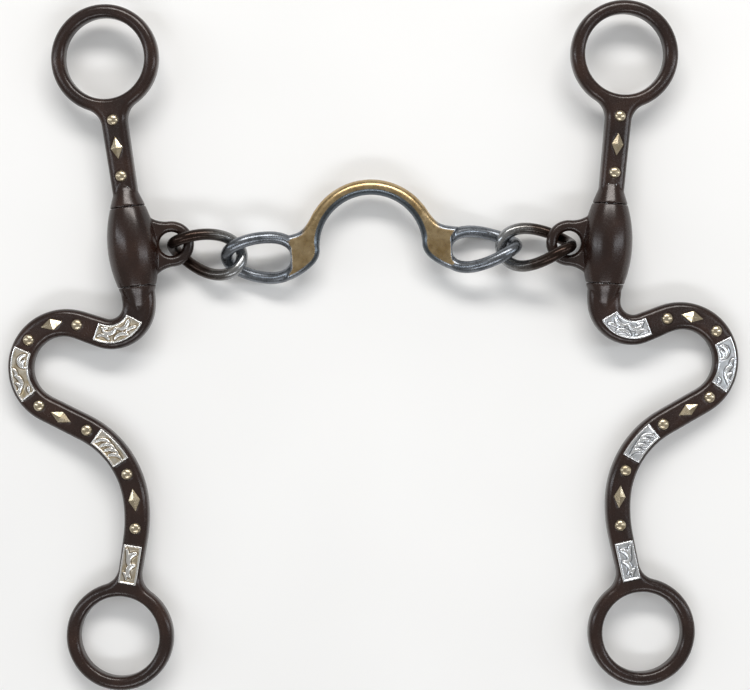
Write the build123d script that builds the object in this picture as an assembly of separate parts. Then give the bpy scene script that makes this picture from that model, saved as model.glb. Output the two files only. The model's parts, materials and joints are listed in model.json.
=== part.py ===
from build123d import *
from math import atan2, cos, degrees, hypot, radians, sin
import os

# Curb bit with loose cheeks and a chain mouthpiece, lying on its back as on a table.
# +X runs along the mouthpiece, +Y points to the headstall rings and +Z points up.
# The origin is the centre of the bounding box's bottom. All sizes are in millimetres.
#
# Each cheek is drawn in its own frame: the origin is the middle of the barrel, +X points
# away from the mouth, +Y runs up the barrel's axis and +Z is the decorated face.

# ---- rings and cheek bar ----
RING_OUTER_RADIUS = 15.9
RING_HOLE_RADIUS = 11.85
CHEEK_THICKNESS = 5.6
BAR_EDGE_RADIUS = 1.9
RING_HOLE_EDGE_RADIUS = 1.5
RING_BLEND_RADIUS = 6.0

# ---- barrel, collars and swivel pin ----
BARREL_LENGTH = 23.2
BARREL_MIDDLE_RADIUS = 7.3
UPPER_SEAM_RADIUS = 5.2
LOWER_SEAM_RADIUS = 5.6
SEAM_GAP = 0.15
PIN_RADIUS = 3.0
PIN_CLEARANCE = 0.05
PIN_SEAT_DEPTH = 6.0
COLLAR_LENGTH = 9.0
COLLAR_END_RADIUS = 2.6
# Distance past the seam at which the flat bar starts, inside the collar.
BAR_START = 1.8

# ---- mouthpiece eye on the barrel ----
EYE_REACH = 11.4
EYE_DROP = 0.5
EYE_RADIUS = 5.1
EYE_WIRE_RADIUS = 1.6
# Half-heights of the eye's root, from inside the barrel to where it meets the eye.
EYE_ROOT = [(-4.5, 10.2), (-7.0, 7.9), (-EYE_REACH, EYE_RADIUS + EYE_WIRE_RADIUS - 0.05)]
EYE_EDGE_RADIUS = 1.4

# ---- purchase: the arm and ring above the barrel ----
HEADSTALL_RING_CENTRE = (1.3, 55.75)
ARM_WIDTH_AT_RING = 7.9
ARM_WIDTH_AT_COLLAR = 7.2

# ---- shank: straight runs and bends of its centreline, from the lower seam to the rein ring ----
# A run is (length,). A bend is (radius, degrees), positive when it turns away from the mouth.
SHANK_ROUTE = [
    (4.5,),
    (8.5, 115.5),
    (7.0,),
    (13.3, -172.5),
    (13.0,),
    (27.5, 57.0),
    (40.0, 16.0),
    (29.2,),
]
# Width of the shank's bar at distances along the centreline.
SHANK_WIDTHS = [(0, 9.8), (12, 9.2), (25, 8.5), (38, 7.8), (56, 7.4), (80, 7.6), (112, 7.3), (138, 6.5), (160, 6.5)]
OUTLINE_STEP = 3.0

# ---- silver trim ----
TRIM_SINK = 0.35
PLATE_RISE = 0.4
PLATE_WIDTH = 4.7
PLATE_SPANS = {"upper_bend": (9.5, 23.0), "outer_bend": (48.3, 62.9), "middle": (86.0, 96.9), "lower": (122.0, 133.6)}
DIAMOND_LENGTH = 6.7
DIAMOND_WIDTH = 3.5
DIAMOND_RISE = 0.9
DOT_RADIUS = 1.55
DOT_RISE = 0.85
SHANK_DIAMONDS = (36.5, 74.2, 108.6)
SHANK_DOTS = (28.9, 45.0, 66.9, 82.8, 100.7, 117.0)
PURCHASE_DIAMONDS = (26.6,)
PURCHASE_DOTS = (18.3, 34.9)

# ---- chain links ----
LINK_HALF_LENGTH = 10.35
LINK_HALF_WIDTH = 6.0
LINK_WIRE_RADIUS = 1.7
LINK_TWIST = 45.0
OVAL_POWER = 2.4

# ---- port ----
PORT_RADIUS = 17.4
PORT_BAR_RADIUS = 2.3
PORT_LEG_DROP = 1.0
# Edges of a foot, drawn for the right side: the outer one sweeps off the arch and
# the heel runs from the eye's lower strand round to the arch's inner side.
PORT_FOOT_FLARE = [(16.2, 11.2), (18.1, 8.1), (20.4, 5.7), (23.4, 4.7), (26.0, 4.3)]
PORT_FOOT_SIDE = [(23.7, 1.2), (23.7, -5.4)]
PORT_FOOT_HEEL = [(26.0, -8.8), (22.8, -8.0), (19.2, -6.0), (16.4, -3.6), (15.1, 0.5)]
PORT_FOOT_THICKNESS = 4.4
PORT_FOOT_EDGE_RADIUS = 1.7
PORT_EYE_ROOT = 22.0
PORT_EYE_TIP = 42.6
PORT_EYE_WIRE_RADIUS = 1.8
# Of each eye: height of its root, degrees by which its axis rises, half-width and twist at its tip.
PORT_EYES = {"left": (-2.3, 4.8, 6.4, 55.0), "right": (-2.7, 1.8, 6.0, 72.0)}

# ---- how the pieces lie ----
# The outer bend and the rein ring of each cheek just touch the surface.
CHEEK_ROLL = 5.8
CHEEK_PITCH = 0.55
# Middle of the bounding box's bottom, which becomes the origin.
BASE_CENTRE = (-0.4035, -0.6615, -0.012)
# X, Y, Z of each piece's own origin before that shift, then its turn about Z.
PLACES = {
    "left_cheek": (-71.1, 28.4, 7.3, 6.9),
    "right_cheek": (68.35, 29.3, 7.3, -3.7),
    "left_link": (-49.3, 26.69, 5.97, -12.42),
    "right_link": (47.29, 28.39, 7.89, 1.3),
    "port": (-1.06, 28.6, 6.4, 3.3),
}
# How far each barrel's eye dips below level, and how each link pitches and rolls in its neighbours' grip.
BARREL_DIP = {"left": 3.95, "right": -4.37}
LINK_PITCH = {"left": -1.35, "right": -12.87}
LINK_ROLL = {"left": 24.7, "right": -31.11}


def lie(name, first=None, second=None):
    """Where a piece lies: its place and turn about Z, then up to two turns of its own."""
    x, y, z, turn = PLACES[name]
    place = Pos(x - BASE_CENTRE[0], y - BASE_CENTRE[1], z - BASE_CENTRE[2]) * Rot(0, 0, turn)
    for own_turn in (first, second):
        if own_turn is not None:
            place = place * own_turn
    return place


def cheek_place(side, own_roll):
    """The frame of a cheek, rolled about its barrel's axis so that a positive roll lowers its outer side."""
    sign = -1 if side == "left" else 1
    return lie(f"{side}_cheek", Rot(CHEEK_PITCH, 0, 0), Rot(0, sign * own_roll, 0))


def link_place(side):
    return lie(f"{side}_link", Rot(0, LINK_PITCH[side], 0), Rot(LINK_ROLL[side], 0, 0))


# ---- the shank's centreline ----
def shank_point(distance):
    """Point and heading in degrees of the centreline, where heading 0 points down and 90 away from the mouth."""
    x, y, heading = 0.0, -BARREL_LENGTH / 2 - SEAM_GAP, 0.0
    for step in SHANK_ROUTE:
        bend = len(step) == 2
        radius, turn = step if bend else (None, 0)
        length = radius * abs(radians(turn)) if bend else step[0]
        share = min(distance / length, 1) if step is not SHANK_ROUTE[-1] else distance / length
        if bend:
            side = 1 if turn > 0 else -1
            after = heading + turn * share
            x += side * radius * (cos(radians(heading)) - cos(radians(after)))
            y += side * radius * (sin(radians(heading)) - sin(radians(after)))
            heading = after
        else:
            x += length * share * sin(radians(heading))
            y -= length * share * cos(radians(heading))
        distance -= length
        if distance <= 0:
            break
    return x, y, heading


def route_length():
    return sum(step[0] * abs(radians(step[1])) if len(step) == 2 else step[0] for step in SHANK_ROUTE)


def shank_width(distance):
    for (low, wide), (high, narrow) in zip(SHANK_WIDTHS, SHANK_WIDTHS[1:]):
        if distance <= high:
            return wide + (narrow - wide) * (distance - low) / (high - low)
    return SHANK_WIDTHS[-1][1]


def beside(distance, offset):
    """Point at a distance along the centreline and an offset to its outer side."""
    x, y, heading = shank_point(distance)
    return x + offset * cos(radians(heading)), y + offset * sin(radians(heading))


def band(start, end, width, step=OUTLINE_STEP):
    """Face along the centreline, between two distances, with width as a number or a function of distance."""
    half = width if callable(width) else lambda distance: width
    count = max(3, round((end - start) / step) + 1)
    stops = [start + (end - start) * i / (count - 1) for i in range(count)]
    outer = [beside(s, half(s) / 2) for s in stops]
    inner = [beside(s, -half(s) / 2) for s in stops]
    edges = [Spline(*outer), Line(outer[-1], inner[-1]), Spline(*inner), Line(inner[0], outer[0])]
    return make_face(edges)


# ---- cheek ----
def join_ring(bar, centre):
    """The bar's face joined to a ring's disc, with a smooth blend in each corner between them."""
    face = bar + Pos(*centre) * Circle(RING_OUTER_RADIUS)
    own = [(v.X, v.Y) for v in bar.vertices()]
    corners = [
        v
        for v in face.vertices()
        if abs(hypot(v.X - centre[0], v.Y - centre[1]) - RING_OUTER_RADIUS) < 0.01
        and min(hypot(v.X - x, v.Y - y) for x, y in own) > 0.05
    ]
    return fillet(corners, RING_BLEND_RADIUS)


def ring_hole_edges(solid):
    return [e for e in solid.edges().filter_by(GeomType.CIRCLE) if abs(e.radius - RING_HOLE_RADIUS) < 0.01]


def rounded_slab(face, centre):
    """The cheek's flat bar with its ring hole, all long edges rounded."""
    slab = extrude(face, CHEEK_THICKNESS / 2, both=True)
    slab -= Pos(*centre, 0) * Cylinder(RING_HOLE_RADIUS, 2 * CHEEK_THICKNESS)
    hole_edges = ring_hole_edges(slab)
    outer_edges = [e for e in slab.faces().filter_by(Axis.Z).edges() if e not in hole_edges]
    slab = fillet(outer_edges, BAR_EDGE_RADIUS)
    return fillet(ring_hole_edges(slab), RING_HOLE_EDGE_RADIUS)


def collar(seam_radius, side):
    """Round collar that flares from the bar to the seam. side is 1 above the barrel and -1 below it."""
    seam = BARREL_LENGTH / 2 + SEAM_GAP
    profile = [
        Line((0, seam), (seam_radius, seam)),
        Bezier(
            (seam_radius, seam),
            (seam_radius - 1.0, seam + 0.35 * COLLAR_LENGTH),
            (COLLAR_END_RADIUS + 0.4, seam + 0.55 * COLLAR_LENGTH),
            (COLLAR_END_RADIUS, seam + COLLAR_LENGTH),
        ),
        Line((COLLAR_END_RADIUS, seam + COLLAR_LENGTH), (0, seam + COLLAR_LENGTH)),
        Line((0, seam + COLLAR_LENGTH), (0, seam)),
    ]
    upper = revolve(make_face(profile), Axis.Y)
    return upper if side > 0 else mirror(upper, Plane.XZ)


def pin_seat():
    """The swivel pin's own space, which the collars' blind seats match."""
    return Rot(90, 0, 0) * Cylinder(PIN_RADIUS, BARREL_LENGTH + 2 * (SEAM_GAP + PIN_SEAT_DEPTH))


def purchase_bar():
    seam = BARREL_LENGTH / 2 + SEAM_GAP
    x, y = HEADSTALL_RING_CENTRE
    arm = Polygon(
        (x - ARM_WIDTH_AT_RING / 2, y),
        (-ARM_WIDTH_AT_COLLAR / 2, seam + BAR_START),
        (ARM_WIDTH_AT_COLLAR / 2, seam + BAR_START),
        (x + ARM_WIDTH_AT_RING / 2, y),
        align=None,
    )
    return rounded_slab(join_ring(arm, (x, y)), (x, y))


def shank_bar():
    end = route_length()
    centre = shank_point(end)[:2]
    bar = band(BAR_START, end, shank_width)
    return rounded_slab(join_ring(bar, centre), centre)


def purchase():
    return purchase_bar() + collar(UPPER_SEAM_RADIUS, 1) - pin_seat()


def shank():
    return shank_bar() + collar(LOWER_SEAM_RADIUS, -1) - pin_seat()


# ---- silver trim, set into the decorated face ----
FACE = CHEEK_THICKNESS / 2


def plate(span):
    """Silver plate that follows the bar, sunk a little into its face."""
    face = band(*span, PLATE_WIDTH, step=1.5)
    return Pos(0, 0, FACE - TRIM_SINK) * extrude(face, TRIM_SINK + PLATE_RISE)


def diamond():
    """Long diamond with four facets that rise to a point."""
    outline = Polygon(
        (0, DIAMOND_LENGTH / 2),
        (-DIAMOND_WIDTH / 2, 0),
        (0, -DIAMOND_LENGTH / 2),
        (DIAMOND_WIDTH / 2, 0),
        align=None,
    )
    base = extrude(outline, TRIM_SINK)
    point = loft([(Pos(0, 0, TRIM_SINK) * outline).face(), Vertex(0, 0, TRIM_SINK + DIAMOND_RISE)])
    return Pos(0, 0, FACE - TRIM_SINK) * (base + point)


def dot():
    """Domed round stud: a ball's cap on a short round foot."""
    ball_radius = (DOT_RADIUS**2 + DOT_RISE**2) / (2 * DOT_RISE)
    top = TRIM_SINK + DOT_RISE
    body = Pos(0, 0, top / 2) * Cylinder(DOT_RADIUS, top)
    ball = Pos(0, 0, top - ball_radius) * Sphere(ball_radius)
    return Pos(0, 0, FACE - TRIM_SINK) * (body & ball)


def along_shank(piece, distances):
    out = []
    for distance in distances:
        x, y, heading = shank_point(distance)
        out.append(Pos(x, y, 0) * Rot(0, 0, heading) * piece)
    return out


def along_purchase(piece, distances):
    """Copies along the arm, at distances from the headstall ring's centre."""
    x, y = HEADSTALL_RING_CENTRE
    seam = BARREL_LENGTH / 2
    length = hypot(x, y - seam)
    lean = degrees(atan2(x, y - seam))
    out = []
    for distance in distances:
        share = distance / length
        out.append(Pos(x * (1 - share), y - (y - seam) * share, 0) * Rot(0, 0, -lean) * piece)
    return out


def cheek_pieces():
    """All pieces of one cheek in its own frame, by name. Values are lists of solids."""
    pieces = {f"plate_{name}": [plate(span)] for name, span in PLATE_SPANS.items()}
    pieces["shank_diamonds"] = along_shank(diamond(), SHANK_DIAMONDS)
    pieces["shank_dots"] = along_shank(dot(), SHANK_DOTS)
    lower = shank()
    for trim in pieces.values():
        for solid in trim:
            lower -= solid
    pieces["purchase_diamond"] = along_purchase(diamond(), PURCHASE_DIAMONDS)
    pieces["purchase_dots"] = along_purchase(dot(), PURCHASE_DOTS)
    upper = purchase()
    for solid in pieces["purchase_diamond"] + pieces["purchase_dots"]:
        upper -= solid
    pieces["purchase"] = [upper]
    pieces["shank"] = [lower]
    pieces["swivel_pin"] = [pin_seat()]
    return pieces


# ---- barrel ----
def barrel():
    """Spindle-shaped sleeve with a bore for the pin and an eye on the mouth's side."""
    half = BARREL_LENGTH / 2
    outline = [
        Line((0, half), (UPPER_SEAM_RADIUS, half)),
        ThreePointArc((UPPER_SEAM_RADIUS, half), (BARREL_MIDDLE_RADIUS, 0), (LOWER_SEAM_RADIUS, -half)),
        Line((LOWER_SEAM_RADIUS, -half), (0, -half)),
        Line((0, -half), (0, half)),
    ]
    spindle = revolve(make_face(outline), Axis.Y)
    upper = [(x, y - EYE_DROP) for x, y in EYE_ROOT]
    lower = [(x, -y - EYE_DROP) for x, y in reversed(EYE_ROOT)]
    root = [Spline(*upper), Line(upper[-1], lower[0]), Spline(*lower), Line(lower[-1], upper[0])]
    web = make_face(root) + Pos(-EYE_REACH, -EYE_DROP) * Circle(EYE_RADIUS + EYE_WIRE_RADIUS)
    web -= Pos(-EYE_REACH, -EYE_DROP) * Circle(EYE_RADIUS - EYE_WIRE_RADIUS)
    eye = extrude(web, EYE_WIRE_RADIUS, both=True)
    eye = fillet(eye.faces().filter_by(Axis.Z).edges(), EYE_EDGE_RADIUS)
    bore = Rot(90, 0, 0) * Cylinder(PIN_RADIUS + PIN_CLEARANCE, 2 * BARREL_LENGTH)
    return spindle + eye - bore


# ---- chain links and port ----
def oval_point(turn, half_length, half_width, twist_low, twist_high):
    """Point of a flat oval, twisted about its long axis from one angle at -X to another at +X."""
    x = half_length * abs(cos(turn)) ** (2 / OVAL_POWER) * (1 if cos(turn) >= 0 else -1)
    y = half_width * abs(sin(turn)) ** (2 / OVAL_POWER) * (1 if sin(turn) >= 0 else -1)
    share = (x / half_length + 1) / 2
    twist = radians(twist_low + (twist_high - twist_low) * share)
    return x, y * cos(twist), y * sin(twist)


def twisted_ring(half_length, half_width, wire_radius, twist_low, twist_high, count=24, spans=4):
    """Round wire bent to a closed twisted oval: tube walls in spans that meet end to end."""
    points = [
        Vector(*oval_point(radians(360 * (i + 0.5) / count), half_length, half_width, twist_low, twist_high))
        for i in range(count)
    ]
    path = Spline(*points, periodic=True)
    walls = []
    for i in range(spans):
        span = path.trim(i / spans, (i + 1) / spans)
        section = Plane(origin=span @ 0, z_dir=span % 0) * Circle(wire_radius)
        walls += [face for face in sweep(section, path=span).faces() if face.geom_type != GeomType.PLANE]
    return Solid(Shell(walls))


def link():
    return twisted_ring(LINK_HALF_LENGTH, LINK_HALF_WIDTH, LINK_WIRE_RADIUS, LINK_TWIST, -LINK_TWIST)


def port_side(side):
    """Foot and twisted eye of one side. The left one is drawn on the right and turned about Y."""
    turned = Rot(0, 180 if side == "left" else 0, 0)
    flare, heel = PORT_FOOT_FLARE, PORT_FOOT_HEEL
    side_wall = Polyline(flare[-1], *PORT_FOOT_SIDE, heel[0])
    outline = [Spline(*flare), side_wall, Spline(*heel), Line(heel[-1], flare[0])]
    foot = extrude(make_face(outline), PORT_FOOT_THICKNESS / 2, both=True)
    curved = foot.faces().filter_by(Axis.Z).edges().filter_by(GeomType.BSPLINE)
    foot = fillet(curved, PORT_FOOT_EDGE_RADIUS)
    root, rise, half_width, twist = PORT_EYES[side]
    half_length = (PORT_EYE_TIP - PORT_EYE_ROOT) / 2
    eye = twisted_ring(half_length, half_width, PORT_EYE_WIRE_RADIUS, 0, -twist)
    eye = Pos(PORT_EYE_ROOT, root, 0) * Rot(0, 0, rise) * Pos(half_length, 0, 0) * eye
    return turned * foot, turned * eye


def port():
    """Half-round arch between two feet, with a twisted eye at each end."""
    foot = (PORT_RADIUS, -PORT_LEG_DROP)
    arch_path = Wire(
        [
            Line((-foot[0], foot[1]), (-PORT_RADIUS, 0)),
            ThreePointArc((-PORT_RADIUS, 0), (0, PORT_RADIUS), (PORT_RADIUS, 0)),
            Line((PORT_RADIUS, 0), foot),
        ]
    )
    start = Plane(origin=arch_path @ 0, z_dir=arch_path % 0)
    whole = sweep(start * Circle(PORT_BAR_RADIUS), path=arch_path)
    for side in ("left", "right"):
        for piece in port_side(side):
            whole = whole + piece
    return whole


# ---- assembly ----
def on_side(side, solid):
    """Cheek pieces are drawn for the right side and mirrored for the left."""
    return mirror(solid, Plane.YZ) if side == "left" else solid


def assembly():
    """Every node by name, as a list of solids in place."""
    nodes = {"port": [lie("port") * port()]}
    chain_link = link()
    right_barrel = barrel()
    right_cheek = cheek_pieces()
    for side in ("left", "right"):
        cheek = cheek_place(side, CHEEK_ROLL)
        for name, solids in right_cheek.items():
            nodes[f"{side}_{name}"] = [cheek * on_side(side, solid) for solid in solids]
        nodes[f"{side}_barrel"] = [cheek_place(side, -BARREL_DIP[side]) * on_side(side, right_barrel)]
        nodes[f"{side}_link"] = [link_place(side) * chain_link]
    return nodes


def main():
    os.makedirs("parts", exist_ok=True)
    for name, solids in assembly().items():
        export_step(Compound(children=solids) if len(solids) > 1 else solids[0], f"parts/{name}.step")


main()
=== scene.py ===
import json
from math import cos, hypot, pi, radians, sin

import bmesh
import bpy
import numpy as np
from mathutils import Matrix, Vector


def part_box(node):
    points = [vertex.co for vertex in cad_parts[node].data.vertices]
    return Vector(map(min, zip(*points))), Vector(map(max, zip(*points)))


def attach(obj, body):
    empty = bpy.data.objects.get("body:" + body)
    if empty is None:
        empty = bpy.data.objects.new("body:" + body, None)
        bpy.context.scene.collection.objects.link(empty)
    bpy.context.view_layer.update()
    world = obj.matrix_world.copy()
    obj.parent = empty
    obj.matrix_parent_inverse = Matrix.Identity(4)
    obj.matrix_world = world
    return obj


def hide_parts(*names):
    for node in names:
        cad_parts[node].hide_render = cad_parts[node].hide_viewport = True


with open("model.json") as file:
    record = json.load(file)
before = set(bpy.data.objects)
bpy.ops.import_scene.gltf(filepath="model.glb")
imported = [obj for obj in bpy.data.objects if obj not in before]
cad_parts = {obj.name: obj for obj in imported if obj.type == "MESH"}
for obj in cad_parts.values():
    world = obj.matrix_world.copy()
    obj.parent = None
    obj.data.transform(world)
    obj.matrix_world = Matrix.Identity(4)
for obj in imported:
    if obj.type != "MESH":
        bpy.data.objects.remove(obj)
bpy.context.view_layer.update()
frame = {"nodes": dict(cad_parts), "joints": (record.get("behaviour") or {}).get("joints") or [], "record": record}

# The curb bit lies on a pale table. +X runs along the mouthpiece, +Y points to the headstall rings
# and +Z up out of the decorated faces. Lengths below are in millimetres and become metres with MM.
MM = 0.001
SIDES = ("left", "right")

# ---- the cheek's own drawing ----
# The barrel's ends are this far from the swivel's middle.
SEAM = 11.75
# The shank's centreline below the barrel, as runs (length,) and bends (radius, degrees).
SHANK_ROUTE = [(4.5,), (8.5, 115.5), (7.0,), (13.3, -172.5), (13.0,), (27.5, 57.0), (40.0, 16.0), (29.2,)]
# Height of the decorated face above the middle of the bar.
FACE = 2.8
# Plates, diamonds and dots are let into the face this deep.
TRIM_SINK = 0.3
PLATE_WIDTH = 5.3
# Where each plate starts and ends along the centreline.
PLATE_SPANS = {
    "upper_bend": (9.5, 23.0),
    "outer_bend": (48.3, 62.9),
    "middle": (86.0, 96.9),
    "lower": (122.0, 133.6),
}
DIAMOND_LENGTH = 6.7
DIAMOND_WIDTH = 3.5
DIAMOND_RISE = 0.85
DIAMOND_BEVEL = 0.07
DOT_RADIUS = 1.65
DOT_RISE = 0.95
# The dome springs from a low step, this high and this far in from the rim.
DOT_STEP = 0.07
DOT_INSET = 0.04
DOT_SEGMENTS = 40
DOT_RINGS = 12
# Places along the shank's centreline, and along the arm from the headstall ring's centre.
SHANK_DIAMONDS = (36.5, 74.2, 108.6)
SHANK_DOTS = (28.9, 45.0, 66.9, 82.8, 100.7, 117.0)
HEADSTALL_RING = (1.3, 55.75)
PURCHASE_DIAMONDS = (26.6,)
PURCHASE_DOTS = (18.3, 34.9)

# ---- the engraving's relief, above the cheek's face ----
PLATE_GRID = 0.115
LEAF_STEPS = 24
BORDER_EDGE = 0.14
BORDER_WIDTH = 0.46
BORDER_FADE = 0.13
GROUND_RISE = 0.2
BORDER_RISE = 0.17
LEAF_RISE = 0.19
VEIN_SINK = 0.05
GROOVE_DEPTH = 0.1
# The leaves fade out between these distances from the border's inner edge.
LEAF_MARGIN = (0.05, 0.25)
# Distances outside a leaf's outline over which it falls to the ground, and its hollow vein begins.
LEAF_SLOPE = (-0.12, 0.08)
VEIN_SLOPE = (-0.45, -0.25)
# The groove around a leaf: its middle outside the outline, and its sides from that middle.
GROOVE_MIDDLE = 0.1
GROOVE_SLOPE = (0.12, 0.3)
# Share of the bright metal that the ground keeps. The grooves keep none.
GROUND_TONE = 0.5


# ---- places from the frame ----
def named(rows, name):
    return next(row for row in rows if row["name"] == name)


def cheek_matrix(side):
    """From a cheek's own frame (rightward, up the barrel, out of the face) to the row frame."""
    swivel = named(frame["joints"], f"{side}_cheek_swivel")
    ring = named(frame["record"]["mounts"], f"{side}_headstall_ring")
    up = Vector(swivel["axis"]).normalized()
    face = Vector(ring["axis"]).normalized()
    turn = Matrix((up.cross(face), up, face)).transposed().to_4x4()
    return Matrix.Translation(swivel["pos_m"]) @ turn


def cheek_verts(side, verts):
    """Points of a cheek's own drawing, mirrored already for the left side, in the row frame."""
    matrix = cheek_matrix(side)
    return [matrix @ (Vector(v) * MM) for v in verts]


def shank_point(distance):
    """Point and heading of the centreline. Heading 0 is down the cheek, 90 degrees away from the mouth."""
    x, y, heading = 0.0, -SEAM, 0.0
    for step in SHANK_ROUTE:
        bend = len(step) == 2
        length = step[0] * abs(radians(step[1])) if bend else step[0]
        share = min(distance / length, 1)
        if bend:
            radius, turn = step
            side = 1 if turn > 0 else -1
            after = heading + radians(turn) * share
            x += side * radius * (cos(heading) - cos(after))
            y += side * radius * (sin(heading) - sin(after))
            heading = after
        else:
            x += length * share * sin(heading)
            y -= length * share * cos(heading)
        distance -= length
        if distance <= 0:
            break
    return x, y, heading


def purchase_point(distance):
    """Point and heading on the arm, at a distance from the headstall ring's centre."""
    x, y = HEADSTALL_RING
    rise = y - SEAM
    share = distance / hypot(x, rise)
    return x * (1 - share), y - rise * share, -np.arctan2(x, rise)


# ---- shader helpers ----
def new_material(name, **values):
    """Material with one Principled shader, whose even values are set on its own sockets."""
    material = bpy.data.materials.new(name)
    material.use_nodes = True
    shader = material.node_tree.nodes["Principled BSDF"]
    for key, value in values.items():
        shader.inputs[key.replace("_", " ")].default_value = value
    return material, material.node_tree, shader


def node(tree, kind, inputs=(), **settings):
    made = tree.nodes.new(kind)
    for key, value in settings.items():
        setattr(made, key, value)
    for key, value in dict(inputs).items():
        if hasattr(value, "is_output"):
            tree.links.new(value, made.inputs[key])
        else:
            made.inputs[key].default_value = value
    return made


def own_position(tree):
    """Position on the piece at rest, in millimetres, so that patterns stay put when the piece moves."""
    place = node(tree, "ShaderNodeTexCoord").outputs["Object"]
    return node(tree, "ShaderNodeVectorMath", {0: place, "Scale": 1 / MM}, operation="SCALE").outputs[0]


def noise(tree, place, scale, detail, roughness=0.55):
    inputs = {"Vector": place, "Scale": scale, "Detail": detail, "Roughness": roughness}
    return node(tree, "ShaderNodeTexNoise", inputs).outputs["Fac"]


def ramp(tree, value, *stops):
    """Colour or grey ramp. A stop is (place, value)."""
    made = node(tree, "ShaderNodeValToRGB", {"Fac": value})
    elements = made.color_ramp.elements
    while len(elements) < len(stops):
        elements.new(0.5)
    for element, (place, colour) in zip(elements, stops):
        element.position = place
        element.color = (*colour, 1) if isinstance(colour, tuple) else (colour, colour, colour, 1)
    return made.outputs["Color"]


def ramp_range(tree, value, low, high):
    """0 below low and 1 above high, even between them."""
    return node(tree, "ShaderNodeMapRange", {0: value, 1: low, 2: high}).outputs[0]


def mix(tree, share, first, second, blend="MIX"):
    made = tree.nodes.new("ShaderNodeMix")
    made.data_type = "RGBA"
    made.blend_type = blend
    for socket, value in ((made.inputs[0], share), (made.inputs[6], first), (made.inputs[7], second)):
        if hasattr(value, "is_output"):
            tree.links.new(value, socket)
        else:
            socket.default_value = (*value, 1) if isinstance(value, tuple) else value
    return made.outputs[2]


def bump(tree, shader, height, strength, distance):
    made = node(tree, "ShaderNodeBump", {"Height": height, "Strength": strength, "Distance": distance * MM})
    tree.links.new(made.outputs["Normal"], shader.inputs["Normal"])


def scratches(tree, place, scale, stretch):
    """Fine hair lines along one direction."""
    squeezed = node(tree, "ShaderNodeVectorMath", {0: place, 1: stretch}, operation="MULTIPLY").outputs[0]
    return noise(tree, squeezed, scale, detail=2.0, roughness=0.7)


# ---- materials ----
def browned_steel():
    """Dark brown oxide on steel, oiled: glossy, with a soft mottle and rubbed edges."""
    material, tree, shader = new_material("browned_steel", Metallic=0.15, Specular_IOR_Level=0.55)
    place = own_position(tree)
    mottle = noise(tree, place, 0.09, detail=6)
    grain = noise(tree, place, 1.6, detail=5)
    brown = ramp(
        tree, mottle,
        (0.3, (0.013, 0.006, 0.0045)), (0.55, (0.023, 0.0105, 0.0075)), (0.75, (0.038, 0.018, 0.012)),
    )
    edge = node(tree, "ShaderNodeNewGeometry").outputs["Pointiness"]
    rubbed = ramp(tree, edge, (0.55, 0.0), (0.64, 1.0))
    patchy = mix(tree, 1.0, rubbed, ramp(tree, grain, (0.45, 0.0), (0.7, 0.7)), "MULTIPLY")
    colour = mix(tree, patchy, brown, (0.1, 0.07, 0.05))
    tree.links.new(colour, shader.inputs["Base Color"])
    tree.links.new(ramp(tree, grain, (0.3, 0.2), (0.7, 0.3)), shader.inputs["Roughness"])
    bump(tree, shader, grain, 0.1, 0.04)
    return material


def chain_iron(port_middle):
    """Iron wire, browned near the barrel and worn bright where it rubs in the port's eye."""
    material, tree, shader = new_material("chain_iron", Metallic=0.9)
    place = own_position(tree)
    shifted = node(tree, "ShaderNodeVectorMath", {0: place, 1: port_middle}, operation="SUBTRACT").outputs[0]
    axis = node(tree, "ShaderNodeSeparateXYZ", {0: shifted}).outputs["X"]
    away = node(tree, "ShaderNodeMath", {0: axis}, operation="ABSOLUTE").outputs[0]
    mottle = noise(tree, place, 0.35, detail=5)
    wander = node(tree, "ShaderNodeMath", {0: mottle, 1: 8.0, 2: away}, operation="MULTIPLY_ADD").outputs[0]
    share = ramp_range(tree, wander, 42.0, 56.0)
    colour = ramp(
        tree, share,
        (0.0, (0.33, 0.34, 0.35)), (0.4, (0.15, 0.145, 0.14)),
        (0.75, (0.045, 0.034, 0.029)), (1.0, (0.03, 0.019, 0.015)),
    )
    tree.links.new(colour, shader.inputs["Base Color"])
    grain = noise(tree, place, 1.0, detail=4)
    tree.links.new(ramp(tree, grain, (0.3, 0.18), (0.75, 0.32)), shader.inputs["Roughness"])
    bump(tree, shader, grain, 0.12, 0.05)
    return material


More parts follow.
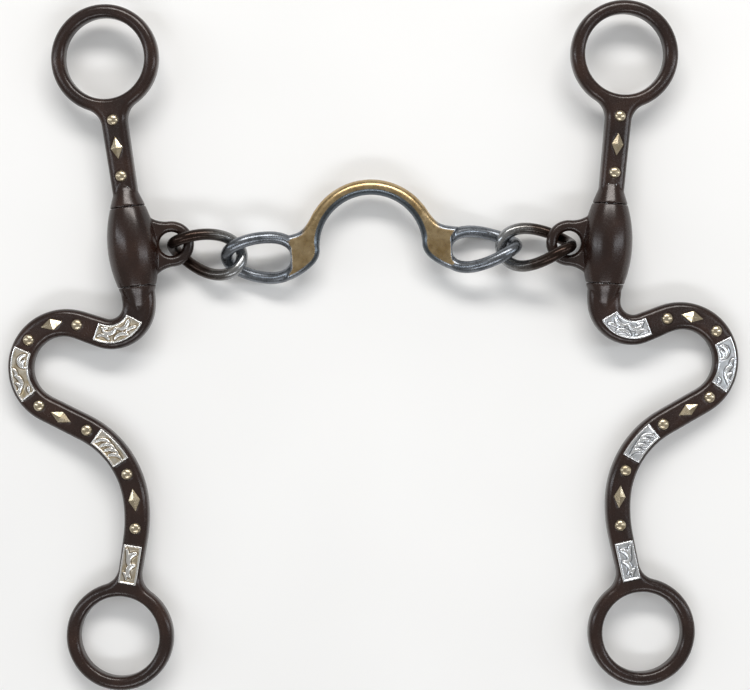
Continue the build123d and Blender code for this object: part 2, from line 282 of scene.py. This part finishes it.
def port_iron(middle):
    """Sweet iron, cool worn metal on the eyes and the feet's sides. On the arch and the feet's flat tops the
    colour holds painted light: a painted highlight along the arch's crest, painted shade on the side that faces
    in, and tan on faces that point up or outward, which is painted warm reflection over the iron's own tan.
    """
    material, tree, shader = new_material("port_iron", Metallic=1.0)
    place = own_position(tree)
    normal = node(tree, "ShaderNodeTexCoord").outputs["Normal"]
    radial = node(tree, "ShaderNodeVectorMath", {0: place, 1: middle}, operation="SUBTRACT").outputs[0]
    flat = node(tree, "ShaderNodeVectorMath", {0: radial, 1: (1, 1, 0)}, operation="MULTIPLY").outputs[0]
    distance = node(tree, "ShaderNodeVectorMath", {0: flat}, operation="LENGTH").outputs["Value"]
    outward = node(tree, "ShaderNodeVectorMath", {0: flat}, operation="NORMALIZE").outputs[0]
    dot = node(tree, "ShaderNodeVectorMath", {0: normal, 1: outward}, operation="DOT_PRODUCT")
    facing = dot.outputs["Value"]
    upward = node(tree, "ShaderNodeSeparateXYZ", {0: normal}).outputs["Z"]
    mottle = noise(tree, place, 0.3, detail=6)
    # Tan for faces that point up or outward: painted warm reflection over the iron's own tan.
    warm = ramp(tree, mottle, (0.3, (0.36, 0.25, 0.12)), (0.7, (0.56, 0.43, 0.25)))
    cool = ramp(tree, mottle, (0.3, (0.11, 0.12, 0.135)), (0.7, (0.26, 0.28, 0.31)))
    # Painted highlight for the arch's crest, and painted shade for its side that faces in.
    bright = (0.88, 0.88, 0.86)
    dark = (0.1, 0.115, 0.13)
    # How far each face points out from the arch, with a little mottle; it places the painted highlight, shade and
    # warm reflection.
    patchy = node(tree, "ShaderNodeMath", {0: mottle, 1: 0.25, 2: facing}, operation="MULTIPLY_ADD")
    wander = patchy.outputs[0]
    painted_crest_and_shade = mix(tree, ramp(tree, wander, (0.0, 1.0), (0.06, 0.0)), bright, dark)
    # Faces that point out from the arch take the painted warm reflection, the rest the painted crest highlight and
    # shade.
    arch = mix(tree, ramp(tree, wander, (0.22, 0.0), (0.32, 1.0)), painted_crest_and_shade, warm)
    side_wall = mix(tree, ramp_range(tree, distance, 19.6, 21.0), arch, cool)
    # Faces that point straight up, as the feet's flat tops, take the painted warm reflection too.
    body = mix(tree, ramp_range(tree, upward, 0.955, 0.985), side_wall, warm)
    colour = mix(tree, ramp_range(tree, distance, 25.0, 28.5), body, cool)
    tree.links.new(colour, shader.inputs["Base Color"])
    grain = noise(tree, place, 0.9, detail=4)
    tree.links.new(ramp(tree, grain, (0.3, 0.22), (0.75, 0.36)), shader.inputs["Roughness"])
    bump(tree, shader, grain, 0.12, 0.05)
    return material


def silver(name, light, dark, roughness):
    """Nickel silver with a faint tarnish and fine polishing lines."""
    material, tree, shader = new_material(name, Metallic=1.0)
    place = own_position(tree)
    tarnish = noise(tree, place, 0.8, detail=5)
    lines = scratches(tree, place, 3.0, (1, 8, 1))
    tree.links.new(ramp(tree, tarnish, (0.3, dark), (0.65, light)), shader.inputs["Base Color"])
    rough = ramp(tree, tarnish, (0.3, roughness * 1.4), (0.7, roughness * 0.7))
    tree.links.new(rough, shader.inputs["Roughness"])
    bump(tree, shader, lines, 0.15, 0.02)
    return material


def engraving(name, bright, ground, shade):
    """Nickel silver whose raised pattern is bright, whose ground is duller and whose grooves are dark."""
    material, tree, shader = new_material(name, Metallic=1.0)
    place = own_position(tree)
    raised = node(tree, "ShaderNodeAttribute", attribute_name="raised").outputs["Fac"]
    blotch = noise(tree, place, 0.45, detail=4)
    worn = mix(tree, ramp(tree, blotch, (0.35, 0.0), (0.65, 0.5)), ground, bright)
    lower = mix(tree, ramp_range(tree, raised, 0.0, GROUND_TONE), shade, worn)
    colour = mix(tree, ramp_range(tree, raised, GROUND_TONE, 1.0), lower, bright)
    tree.links.new(colour, shader.inputs["Base Color"])
    tree.links.new(ramp(tree, raised, (0.4, 0.32), (0.9, 0.22)), shader.inputs["Roughness"])
    bump(tree, shader, scratches(tree, place, 4.0, (1, 6, 1)), 0.2, 0.02)
    return material


def paper():
    """Plain pale table."""
    material, tree, shader = new_material("table", Roughness=0.85)
    place = own_position(tree)
    tint = noise(tree, place, 0.01, detail=2)
    white = ramp(tree, tint, (0.3, (0.86, 0.86, 0.86)), (0.7, (0.9, 0.9, 0.9)))
    tree.links.new(white, shader.inputs["Base Color"])
    return material


ARCH_OUTER_RADIUS = 19.7


def arch_middle():
    """Centre of the port's arch, in millimetres."""
    low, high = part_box("port")
    return Vector(((low.x + high.x) / 2 / MM, high.y / MM - ARCH_OUTER_RADIUS, 0))


MATERIALS = {
    "browned_steel": browned_steel(),
    "port_iron": port_iron(arch_middle()),
    "chain_iron": chain_iron(arch_middle()),
    # Two copies of the same nickel silver: the left plates' copy is warm and the right plates' copy cool, as
    # painted warm and cool reflections.
    "left_engraving": engraving(
        "left_engraving", bright=(0.93, 0.93, 0.92), ground=(0.5, 0.41, 0.27), shade=(0.17, 0.125, 0.07)
    ),
    "right_engraving": engraving(
        "right_engraving", bright=(0.93, 0.95, 0.98), ground=(0.52, 0.54, 0.57), shade=(0.15, 0.155, 0.165)
    ),
    "polished_silver": silver("polished_silver", (0.66, 0.58, 0.44), (0.38, 0.31, 0.2), 0.26),
    "pin_steel": silver("pin_steel", (0.5, 0.5, 0.5), (0.35, 0.34, 0.33), 0.35),
    "table": paper(),
}


# ---- meshes ----
# Corners of the CAD mesh closer than this are one corner.
WELD_GAP = 0.004


def mesh_piece(name, verts, faces, body, node_name, material, smooth=True):
    """New piece in the row frame that rides on a body and stands for a CAD node."""
    mesh = bpy.data.meshes.new(name)
    mesh.from_pydata([tuple(v) for v in verts], [], faces)
    piece = bpy.data.objects.new(name, mesh)
    bpy.context.scene.collection.objects.link(piece)
    mesh.materials.append(MATERIALS[material])
    shape = bmesh.new()
    shape.from_mesh(mesh)
    bmesh.ops.recalc_face_normals(shape, faces=shape.faces)
    shape.to_mesh(mesh)
    shape.free()
    mesh.polygons.foreach_set("use_smooth", [smooth] * len(mesh.polygons))
    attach(piece, body)
    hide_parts(node_name)
    return piece


def forged(node_name, body, slot, voxel, rounds):
    """The CAD node's shape with its joins blended as forging, welding and polishing leave them."""
    source = frame["nodes"][node_name]
    piece = bpy.data.objects.new(f"{node_name}_finished", source.data.copy())
    bpy.context.scene.collection.objects.link(piece)
    weld = piece.modifiers.new("weld", "WELD")
    weld.merge_threshold = WELD_GAP * MM
    remesh = piece.modifiers.new("remesh", "REMESH")
    remesh.mode = "VOXEL"
    remesh.voxel_size = voxel * MM
    remesh.use_smooth_shade = True
    soften = piece.modifiers.new("soften", "SMOOTH")
    soften.factor = 0.5
    soften.iterations = rounds
    evaluated = piece.evaluated_get(bpy.context.evaluated_depsgraph_get())
    finished = bpy.data.meshes.new_from_object(evaluated)
    piece.modifiers.clear()
    piece.data = finished
    finished.materials.clear()
    finished.materials.append(MATERIALS[slot])
    finished.polygons.foreach_set("use_smooth", [True] * len(finished.polygons))
    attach(piece, body)
    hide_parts(node_name)
    return piece


# ---- engraving ----
def leaf(start, across, heading, bend, length, width):
    """Points and half-widths along a curled leaf. bend is the whole turn in degrees over the length."""
    t = np.linspace(0, 1, LEAF_STEPS)
    angle = np.radians(heading + bend * t)
    step = length / (LEAF_STEPS - 1)
    x = start + np.concatenate([[0], np.cumsum(np.cos(angle[:-1]) * step)])
    y = across + np.concatenate([[0], np.cumsum(np.sin(angle[:-1]) * step)])
    half = width / 2 * np.sin(pi * t**0.7) ** 0.6 + 0.04
    return x, y, half


def sheaf(start, across, heading, bend, length, width, count, pitch):
    """Leaves that curl side by side, each a little shorter than the last."""
    return [
        leaf(start + i * pitch, across, heading, bend, length * (1 - 0.05 * i), width)
        for i in range(count)
    ]


# The leaves on each plate: start along it, place across it, heading, bend, length and width.
LEAVES = {
    "upper_bend": [
        leaf(1.3, 1.5, -38, 85, 6.2, 1.2),
        leaf(1.6, -1.7, 55, -80, 3.4, 0.9),
        leaf(4.4, -1.8, 65, -135, 4.6, 1.1),
        leaf(6.8, 1.7, -55, 105, 5.8, 1.25),
        leaf(9.4, -1.7, 72, -140, 4.2, 1.0),
        leaf(9.9, 1.8, -20, 35, 2.6, 0.8),
    ],
    "outer_bend": [
        leaf(1.3, -1.6, 78, -190, 7.0, 1.2),
        leaf(2.9, -1.8, 62, -160, 4.2, 0.9),
        leaf(5.7, 1.8, -45, 60, 3.4, 0.85),
        leaf(7.6, 1.6, -72, 190, 7.0, 1.2),
        leaf(9.5, 1.8, -62, 155, 4.2, 0.9),
        leaf(11.9, -1.7, 50, -70, 2.6, 0.8),
    ],
    "middle": sheaf(1.0, 1.9, -80, 88, 5.6, 1.0, 4, 2.0),
    "lower": [
        leaf(2.3, -1.6, 86, -155, 6.0, 1.5),
        leaf(5.7, -1.6, 82, -150, 5.4, 1.4),
        leaf(1.3, 1.7, -30, 40, 3.0, 0.8),
        leaf(8.3, 1.6, -60, 70, 2.6, 0.8),
    ],
}


def smooth_step(low, high, value):
    t = np.clip((value - low) / (high - low), 0, 1)
    return t * t * (3 - 2 * t)


def plate_relief(along, across, length, style):
    """Height above the cheek's face, and how much each point belongs to the raised pattern."""
    edge = np.minimum(np.minimum(along, length - along), PLATE_WIDTH / 2 - np.abs(across))
    border = 1 - smooth_step(BORDER_WIDTH, BORDER_WIDTH + BORDER_FADE, edge)
    leaves = np.zeros_like(along)
    vein = np.zeros_like(along)
    groove = np.zeros_like(along)
    for x, y, half in LEAVES[style]:
        gap = np.hypot(along[..., None] - x, across[..., None] - y) - half
        outside = gap.min(axis=-1)
        groove = np.maximum(groove, 1 - smooth_step(*GROOVE_SLOPE, np.abs(outside - GROOVE_MIDDLE)))
        leaves = np.maximum(leaves, 1 - smooth_step(*LEAF_SLOPE, outside))
        vein = np.maximum(vein, 1 - smooth_step(*VEIN_SLOPE, outside))
    inside = smooth_step(*LEAF_MARGIN, edge - BORDER_WIDTH)
    leaves *= inside
    groove *= inside * (1 - leaves)
    height = GROUND_RISE + BORDER_RISE * border + (LEAF_RISE - VEIN_SINK * vein) * leaves
    height -= GROOVE_DEPTH * groove
    height -= (GROUND_RISE + BORDER_RISE) * (1 - smooth_step(0.0, BORDER_EDGE, edge))
    bright = np.maximum(border, leaves)
    return height, bright + (1 - bright) * GROUND_TONE * (1 - groove)


def engraved_plate(side, style):
    """Silver plate that follows the shank, with a raised border and leaf scrolls on a recessed ground."""
    start, end = PLATE_SPANS[style]
    length = end - start
    columns = int(length / PLATE_GRID)
    rows = int(PLATE_WIDTH / PLATE_GRID)
    stations = np.linspace(0, length, columns)
    offsets = np.linspace(-PLATE_WIDTH / 2, PLATE_WIDTH / 2, rows)
    along, across = np.meshgrid(stations, offsets, indexing="ij")
    height, raised = plate_relief(along, across, length, style)
    hand = -1 if side == "left" else 1
    centre = [shank_point(start + s) for s in stations]
    flat = [(x + o * cos(turn), y + o * sin(turn)) for x, y, turn in centre for o in offsets]
    verts = [(hand * x, y, FACE + h) for (x, y), h in zip(flat, height.flat)]
    rim = list(range(rows))
    rim += [i * rows + rows - 1 for i in range(1, columns)]
    rim += [(columns - 1) * rows + j for j in range(rows - 2, -1, -1)]
    rim += [i * rows for i in range(columns - 2, 0, -1)]
    count = len(verts)
    verts += [(hand * flat[i][0], flat[i][1], FACE - TRIM_SINK) for i in rim]
    faces = [
        (i * rows + j, (i + 1) * rows + j, (i + 1) * rows + j + 1, i * rows + j + 1)
        for i in range(columns - 1)
        for j in range(rows - 1)
    ]
    turn = len(rim)
    faces += [(rim[k], rim[(k + 1) % turn], count + (k + 1) % turn, count + k) for k in range(turn)]
    faces.append(tuple(range(count, count + turn)))
    name = f"{side}_plate_{style}"
    piece = mesh_piece(
        f"{name}_engraved", cheek_verts(side, verts), faces, f"{side}_cheek", name,
        f"{side}_engraving",
    )
    mask = piece.data.attributes.new("raised", "FLOAT", "POINT")
    mask.data.foreach_set("value", list(raised.flat) + [1.0] * turn)
    return piece


# ---- diamonds and dots ----
def ring_stack(profile, outline):
    """Closed surface from stacked copies of an outline. profile is (scale, height) from bottom to top."""
    count = len(outline)
    verts = [(x * scale, y * scale, z) for scale, z in profile for x, y in outline]
    faces = [tuple(reversed(range(count)))]
    for level in range(len(profile) - 1):
        base = level * count
        for i in range(count):
            j = (i + 1) % count
            faces.append((base + i, base + j, base + count + j, base + count + i))
    faces.append(tuple(range((len(profile) - 1) * count, len(profile) * count)))
    return verts, faces


def diamond_shape():
    """Low pyramid on a diamond, with a short upright edge."""
    half_l, half_w = DIAMOND_LENGTH / 2, DIAMOND_WIDTH / 2
    outline = [(0, half_l), (-half_w, 0), (0, -half_l), (half_w, 0)]
    profile = [(1, -TRIM_SINK), (1, 0.1), (0.95, 0.17), (0.06, DIAMOND_RISE), (0.02, DIAMOND_RISE + 0.02)]
    return ring_stack(profile, outline)


def dot_shape():
    """Dome on a low step."""
    angles = [2 * pi * i / DOT_SEGMENTS for i in range(DOT_SEGMENTS)]
    outline = [(cos(angle), sin(angle)) for angle in angles]
    dome = DOT_RADIUS - DOT_INSET
    profile = [(DOT_RADIUS + 0.02, -TRIM_SINK), (DOT_RADIUS + 0.02, 0.04), (dome, DOT_STEP)]
    for i in range(1, DOT_RINGS):
        angle = pi / 2 * i / DOT_RINGS
        profile.append((dome * cos(angle), DOT_STEP + (DOT_RISE - DOT_STEP) * sin(angle)))
    profile.append((0.02, DOT_RISE))
    return ring_stack(profile, outline)


def trim_group(side, name, shape, places, bevel=0):
    """Copies of one small shape on the cheek's face, as one piece: flat and bevelled, or else smooth."""
    hand = -1 if side == "left" else 1
    verts, faces = shape
    all_verts = []
    all_faces = []
    for x, y, turn in places:
        base = len(all_verts)
        all_verts += [
            (hand * (x + u * cos(turn) - v * sin(turn)), y + u * sin(turn) + v * cos(turn), FACE + h)
            for u, v, h in verts
        ]
        all_faces += [tuple(base + i for i in face) for face in faces]
    piece = mesh_piece(
        f"{side}_{name}_polished", cheek_verts(side, all_verts), all_faces, f"{side}_cheek",
        f"{side}_{name}", "polished_silver", smooth=not bevel,
    )
    if bevel:
        edges = piece.modifiers.new("edges", "BEVEL")
        edges.width = bevel * MM
        edges.segments = 2
        edges.limit_method = "ANGLE"
        edges.angle_limit = radians(12)
    return piece


# ---- the bit ----
def build_cheek(side):
    cheek = f"{side}_cheek"
    for part_name in ("purchase", "shank"):
        forged(f"{side}_{part_name}", cheek, "browned_steel", voxel=0.3, rounds=4)
    for style in PLATE_SPANS:
        engraved_plate(side, style)
    diamond, dot = diamond_shape(), dot_shape()
    on_shank = [shank_point(s) for s in SHANK_DIAMONDS]
    on_purchase = [purchase_point(s) for s in PURCHASE_DIAMONDS]
    trim_group(side, "shank_diamonds", diamond, on_shank, DIAMOND_BEVEL)
    trim_group(side, "purchase_diamond", diamond, on_purchase, DIAMOND_BEVEL)
    trim_group(side, "shank_dots", dot, [shank_point(s) for s in SHANK_DOTS])
    trim_group(side, "purchase_dots", dot, [purchase_point(s) for s in PURCHASE_DOTS])
    pin = frame["nodes"][f"{side}_swivel_pin"]
    pin.data.materials.clear()
    pin.data.materials.append(MATERIALS["pin_steel"])


def build_mouthpiece():
    forged("port", "port", "port_iron", voxel=0.25, rounds=16)
    for side in SIDES:
        forged(f"{side}_link", f"{side}_link", "chain_iron", voxel=0.22, rounds=3)
        forged(f"{side}_barrel", f"{side}_barrel", "browned_steel", voxel=0.22, rounds=4)


# ---- table, lights and camera ----
TABLE_HALF = 4000
# Millimetres to a pixel across the middle of the bars.
PHOTO_SCALE = 0.2945
PICTURE_WIDTH = 750
LENS = 120
SENSOR = 36
VIEW_CENTRE = (0.52, 0.25)
# Height of the middle of the bars above the table.
MIDDLE_HEIGHT = 5.0


def build_table():
    mesh = bpy.data.meshes.new("table")
    corners = [(-1, -1), (1, -1), (1, 1), (-1, 1)]
    half = TABLE_HALF * MM
    mesh.from_pydata([(x * half, y * half, 0) for x, y in corners], [], [(0, 1, 2, 3)])
    mesh.materials.append(MATERIALS["table"])
    table = bpy.data.objects.new("table", mesh)
    bpy.context.scene.collection.objects.link(table)


def area_light(name, place, size, watts, colour):
    """Softbox that faces the middle of the bit."""
    data = bpy.data.lights.new(name, "AREA")
    data.shape = "RECTANGLE"
    data.size, data.size_y = (s * MM for s in size)
    data.energy = watts
    data.color = colour
    lamp = bpy.data.objects.new(name, data)
    lamp.location = Vector(place) * MM
    lamp.rotation_euler = (-lamp.location).to_track_quat("-Z", "Y").to_euler()
    bpy.context.scene.collection.objects.link(lamp)


def build_lights():
    area_light("back", (60, 700, 700), (900, 200), 6.5, (1.0, 0.98, 0.95))
    area_light("front", (0, -700, 760), (900, 160), 2.8, (0.95, 0.97, 1.0))
    area_light("left", (-760, 120, 620), (100, 800), 1.5, (0.88, 0.94, 1.0))
    area_light("right", (760, 60, 620), (100, 800), 1.5, (0.88, 0.94, 1.0))
    world = bpy.data.worlds.new("studio")
    world.use_nodes = True
    background = world.node_tree.nodes["Background"]
    background.inputs["Color"].default_value = (1.0, 0.97, 0.92, 1)
    background.inputs["Strength"].default_value = 0.34
    bpy.context.scene.world = world
    bpy.context.scene.view_settings.view_transform = "Standard"


def build_camera():
    """Looks straight down, as far off as the picture's scale asks."""
    data = bpy.data.cameras.new("camera")
    data.lens = LENS
    data.sensor_width = SENSOR
    camera = bpy.data.objects.new("camera", data)
    distance = PHOTO_SCALE * PICTURE_WIDTH * LENS / SENSOR + MIDDLE_HEIGHT
    camera.location = Vector((*VIEW_CENTRE, distance)) * MM
    data.clip_start = 0.01
    bpy.context.scene.collection.objects.link(camera)
    bpy.context.scene.camera = camera


build_camera()
build_table()
build_lights()
build_mouthpiece()
for side in SIDES:
    build_cheek(side)
